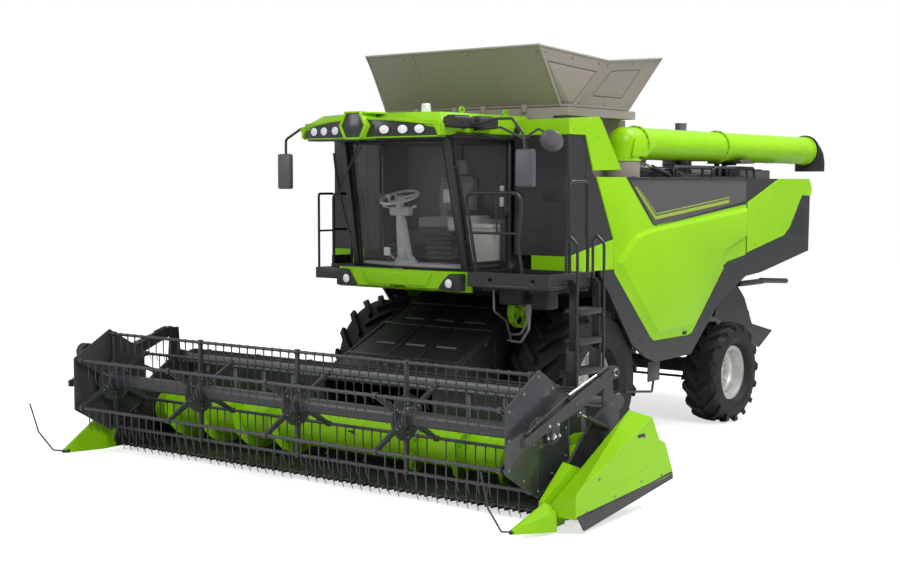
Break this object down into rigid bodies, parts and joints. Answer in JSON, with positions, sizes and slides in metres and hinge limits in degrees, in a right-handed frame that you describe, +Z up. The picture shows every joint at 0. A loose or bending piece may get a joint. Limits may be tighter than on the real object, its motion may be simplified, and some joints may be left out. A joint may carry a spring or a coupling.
{
  "type": "combine harvester",
  "caption": "Self-propelled grain harvester with a wide tined-reel header, glazed cab, flared tank, folded unloading auger and rear steered wheels.",
  "frame": {"origin": "middle of the footprint on the ground", "axes": "+X to the machine left, +Y to its rear along its length, +Z up"},
  "size_m": [6.4, 9.865, 4.38],
  "materials": {
    "lime_paint": "gloss",
    "dark_paint": "satin",
    "tyre": "matte",
    "rim_silver": "satin",
    "glass": "clear",
    "tank_sheet": "satin",
    "lens": "gloss",
    "cab_plastic": "matte",
    "rod_steel": "bright",
    "black_plastic": "matte",
    "rubber": "matte"
  },
  "bodies": {
    "chassis": {"body_covers": "lime_paint", "body_skirts": "dark_paint", "cab_floor": "dark_paint", "cab_frame": "dark_paint", "cab_glass": "glass", "cab_interior": "cab_plastic", "cab_roof": "lime_paint", "cab_valance": "lime_paint", "decks": "dark_paint", "engine": "dark_paint", "engine_deck": "dark_paint", "front_axle": "dark_paint", "grain_tank": "dark_paint", "handrails": "dark_paint", "lamp_panels": "black_plastic", "lamps": "lens", "main_frame": "dark_paint", "mirrors": "black_plastic", "rear_axle": "dark_paint", "side_frame": "dark_paint", "side_modules": "dark_paint", "straw_chopper": "dark_paint", "tank_extension": "tank_sheet", "threshing_body": "dark_paint"},
    "wheel_front_left": {"front_tyre_left": "tyre", "front_rim_left": "rim_silver"},
    "wheel_front_right": {"front_tyre_right": "tyre", "front_rim_right": "rim_silver"},
    "wheel_rear_left": {"rear_tyre_left": "tyre", "rear_rim_left": "rim_silver"},
    "wheel_rear_right": {"rear_tyre_right": "tyre", "rear_rim_right": "rim_silver"},
    "knuckle_left": {"knuckle_left": "dark_paint"},
    "knuckle_right": {"knuckle_right": "dark_paint"},
    "tie_rod": {"tie_rod": "dark_paint"},
    "header": {"feeder_house": "dark_paint", "header_frame": "dark_paint", "cutter_bar": "dark_paint", "dividers": "lime_paint"},
    "intake_auger": {"intake_auger": "lime_paint"},
    "reel_arms": {"reel_arms": "dark_paint"},
    "reel": {"reel_frame": "dark_paint"},
    "lift_barrels": {"lift_barrels": "dark_paint"},
    "lift_rods": {"lift_rods": "rod_steel"},
    "ram_barrels": {"ram_barrels": "dark_paint"},
    "ram_rods": {"ram_rods": "rod_steel"},
    "unload_auger": {"unload_tube": "lime_paint", "unload_spout": "rubber"},
    "door": {"door_frame": "dark_paint", "door_glass": "glass"},
    "side_panel_left": {"side_panel_left": "lime_paint", "side_insert_left": "dark_paint"},
    "side_panel_right": {"side_panel_right": "lime_paint", "side_insert_right": "dark_paint"},
    "tine_bar_1": {"tine_bar_1": "dark_paint"},
    "tine_bar_2": {"tine_bar_2": "dark_paint"},
    "tine_bar_3": {"tine_bar_3": "dark_paint"},
    "tine_bar_4": {"tine_bar_4": "dark_paint"},
    "tine_bar_5": {"tine_bar_5": "dark_paint"},
    "tine_bar_6": {"tine_bar_6": "dark_paint"}
  },
  "joints": [
    {"name": "front_left_spin", "type": "hinge", "parent": "chassis", "child": "wheel_front_left", "pos_m": [1.14, -0.9625, 0.81], "axis": [1, 0, 0], "continuous": true},
    {"name": "front_right_spin", "type": "hinge", "parent": "chassis", "child": "wheel_front_right", "pos_m": [-1.34, -0.9625, 0.81], "axis": [1, 0, 0], "continuous": true},
    {"name": "steer_left", "type": "hinge", "parent": "chassis", "child": "knuckle_left", "pos_m": [0.94, 2.0675, 0.62], "axis": [0, 0, 1], "range_deg": [-30, 30]},
    {"name": "steer_right", "type": "hinge", "parent": "chassis", "child": "knuckle_right", "pos_m": [-1.14, 2.0675, 0.62], "axis": [0, 0, 1], "range_deg": [-30, 30]},
    {"name": "rear_left_spin", "type": "hinge", "parent": "knuckle_left", "child": "wheel_rear_left", "pos_m": [1.325, 2.0675, 0.62], "axis": [1, 0, 0], "continuous": true},
    {"name": "rear_right_spin", "type": "hinge", "parent": "knuckle_right", "child": "wheel_rear_right", "pos_m": [-1.525, 2.0675, 0.62], "axis": [1, 0, 0], "continuous": true},
    {"name": "tie_rod_pin", "type": "hinge", "parent": "knuckle_left", "child": "tie_rod", "pos_m": [0.94, 2.2975, 0.482], "axis": [0, 0, 1], "range_deg": [-30, 30]},
    {"name": "header_lift", "type": "hinge", "parent": "chassis", "child": "header", "pos_m": [-0.1, -1.0125, 1.5], "axis": [-1, 0, 0], "range_deg": [0, 22]},
    {"name": "lift_barrel_pin", "type": "hinge", "parent": "chassis", "child": "lift_barrels", "pos_m": [-0.1, -1.1125, 0.6], "axis": [-1, 0, 0], "range_deg": [-2, 25.13]},
    {"name": "lift_rod_slide", "type": "slide", "parent": "lift_barrels", "child": "lift_rods", "axis": [0, -0.9959, -0.0905], "range_m": [-0.005, 0.3556]},
    {"name": "reel_lift", "type": "hinge", "parent": "header", "child": "reel_arms", "pos_m": [-0.1, -2.9725, 1.25], "axis": [-1, 0, 0], "range_deg": [0, 18]},
    {"name": "ram_barrel_pin", "type": "hinge", "parent": "header", "child": "ram_barrels", "pos_m": [-0.1, -3.0925, 0.76], "axis": [-1, 0, 0], "range_deg": [-2, 16.71]},
    {"name": "ram_rod_slide", "type": "slide", "parent": "ram_barrels", "child": "ram_rods", "axis": [0, -0.9202, 0.3916], "range_m": [-0.005, 0.1617]},
    {"name": "reel_spin", "type": "hinge", "parent": "reel_arms", "child": "reel", "pos_m": [-0.1, -3.9605, 0.805], "axis": [1, 0, 0], "continuous": true},
    {"name": "tine_bar_1_turn", "type": "hinge", "parent": "reel", "child": "tine_bar_1", "pos_m": [-0.1, -3.9605, 1.31], "axis": [1, 0, 0], "continuous": true},
    {"name": "tine_bar_2_turn", "type": "hinge", "parent": "reel", "child": "tine_bar_2", "pos_m": [-0.1, -4.39784, 1.0575], "axis": [1, 0, 0], "continuous": true},
    {"name": "tine_bar_3_turn", "type": "hinge", "parent": "reel", "child": "tine_bar_3", "pos_m": [-0.1, -4.39784, 0.5525], "axis": [1, 0, 0], "continuous": true},
    {"name": "tine_bar_4_turn", "type": "hinge", "parent": "reel", "child": "tine_bar_4", "pos_m": [-0.1, -3.9605, 0.3], "axis": [1, 0, 0], "continuous": true},
    {"name": "tine_bar_5_turn", "type": "hinge", "parent": "reel", "child": "tine_bar_5", "pos_m": [-0.1, -3.52316, 0.5525], "axis": [1, 0, 0], "continuous": true},
    {"name": "tine_bar_6_turn", "type": "hinge", "parent": "reel", "child": "tine_bar_6", "pos_m": [-0.1, -3.52316, 1.0575], "axis": [1, 0, 0], "continuous": true},
    {"name": "auger_spin", "type": "hinge", "parent": "header", "child": "intake_auger", "pos_m": [-0.1, -3.1125, 0.4], "axis": [1, 0, 0], "continuous": true},
    {"name": "unload_swing", "type": "hinge", "parent": "chassis", "child": "unload_auger", "pos_m": [1.245, -0.1525, 3.39], "axis": [0, 0, -1], "range_deg": [0, 100]},
    {"name": "door_hinge", "type": "hinge", "parent": "chassis", "child": "door", "pos_m": [0.797, -2.3325, 2.05], "axis": [0, 0.2342, -0.9722], "range_deg": [0, 70]},
    {"name": "side_left_hinge", "type": "hinge", "parent": "chassis", "child": "side_panel_left", "pos_m": [1.49, 0.2375, 3.003], "axis": [0, -1, 0], "range_deg": [0, 65]},
    {"name": "side_right_hinge", "type": "hinge", "parent": "chassis", "child": "side_panel_right", "pos_m": [-1.69, 0.2375, 3.003], "axis": [0, 1, 0], "range_deg": [0, 65]}
  ],
  "couplings": [
    {"joint": "steer_right", "follows": "steer_left", "ratio": 1},
    {"joint": "tie_rod_pin", "follows": "steer_left", "ratio": -1},
    {"joint": "lift_barrel_pin", "follows": "header_lift", "ratio": 1.0058},
    {"joint": "lift_rod_slide", "follows": "header_lift", "m_per_rad": 0.89996},
    {"joint": "ram_barrel_pin", "follows": "reel_lift", "ratio": 0.76178},
    {"joint": "ram_rod_slide", "follows": "reel_lift", "m_per_rad": 0.48293},
    {"joint": "tine_bar_1_turn", "follows": "reel_spin", "ratio": -1},
    {"joint": "tine_bar_2_turn", "follows": "reel_spin", "ratio": -1},
    {"joint": "tine_bar_3_turn", "follows": "reel_spin", "ratio": -1},
    {"joint": "tine_bar_4_turn", "follows": "reel_spin", "ratio": -1},
    {"joint": "tine_bar_5_turn", "follows": "reel_spin", "ratio": -1},
    {"joint": "tine_bar_6_turn", "follows": "reel_spin", "ratio": -1}
  ]
}
